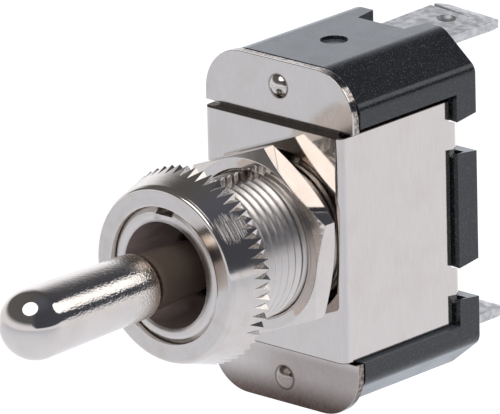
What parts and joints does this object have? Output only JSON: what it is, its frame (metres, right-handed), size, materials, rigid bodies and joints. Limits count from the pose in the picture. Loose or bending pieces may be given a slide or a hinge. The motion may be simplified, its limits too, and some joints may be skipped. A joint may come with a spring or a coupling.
{
  "type": "panel toggle switch",
  "caption": "Panel-mount toggle switch: bat lever in a threaded keyed bushing with a ring nut and a hexagon nut, folded metal bracket, moulded base and push-on blades.",
  "frame": {"origin": "centre of the bushing at the front face of the bracket", "axes": "+Y into the panel towards the blades, +Z along the long side of the body towards the keyway, +X across the body; the lever points to -Y"},
  "size_m": [0.0164, 0.0548, 0.0287],
  "materials": {
    "moulded_base": "black phenolic moulding with a soft sheen",
    "fibre_sheet": "brown fibre sheet",
    "cover_plate": "bright nickel plate over steel",
    "bracket": "satin nickel plate over steel",
    "bushing": "nickel plate over brass",
    "lever": "polished nickel plate",
    "pivot_pin": "plain steel",
    "plunger": "moulded nylon",
    "spring_wire": "steel wire",
    "contact_strip": "stamped copper alloy",
    "contact_face": "silver contact",
    "terminal": "dull tinned brass",
    "rivet": "brass",
    "nuts": "bright nickel plate over brass"
  },
  "bodies": {
    "body": {"base": "moulded_base", "insulator": "fibre_sheet", "cover_plate": "cover_plate", "bracket": "bracket", "bushing": "bushing", "pivot_pin": "pivot_pin", "rocker_support": "contact_strip", "fixed_contact": "contact_face", "terminal_upper": "terminal", "terminal_lower": "terminal", "rivet_upper": "rivet", "rivet_lower": "rivet", "support_rivet": "rivet"},
    "lever": {"lever": "lever", "plunger_spring": "spring_wire"},
    "plunger": {"plunger": "plunger"},
    "rocker": {"rocker": "contact_strip", "moving_contact": "contact_face"},
    "ring_nut": {"ring_nut": "nuts"},
    "hex_nut": {"hex_nut": "nuts"}
  },
  "joints": [
    {"name": "lever_tilt", "type": "hinge", "parent": "body", "child": "lever", "pos_m": [0, -0.0036, 0], "axis": [1, 0, 0], "range_deg": [-12, 12]},
    {"name": "rocker_tilt", "type": "hinge", "parent": "body", "child": "rocker", "pos_m": [0, 0.0089, 0], "axis": [1, 0, 0], "range_deg": [-8.4, 8.4]},
    {"name": "plunger_slide", "type": "slide", "parent": "lever", "child": "plunger", "axis": [0, -1, 0], "range_m": [0, 0.0012], "stiffness_N_per_m": 400, "springref_m": -0.002, "deforming": ["plunger_spring"]},
    {"name": "ring_nut_travel", "type": "slide", "parent": "body", "child": "ring_nut", "axis": [0, 1, 0], "range_m": [-0.0034, 0.005]},
    {"name": "hex_nut_travel", "type": "slide", "parent": "body", "child": "hex_nut", "axis": [0, 1, 0], "range_m": [-0.0014, 0.0007]}
  ],
  "couplings": [
    {"joint": "rocker_tilt", "follows": "lever_tilt", "ratio": -0.7}
  ]
}
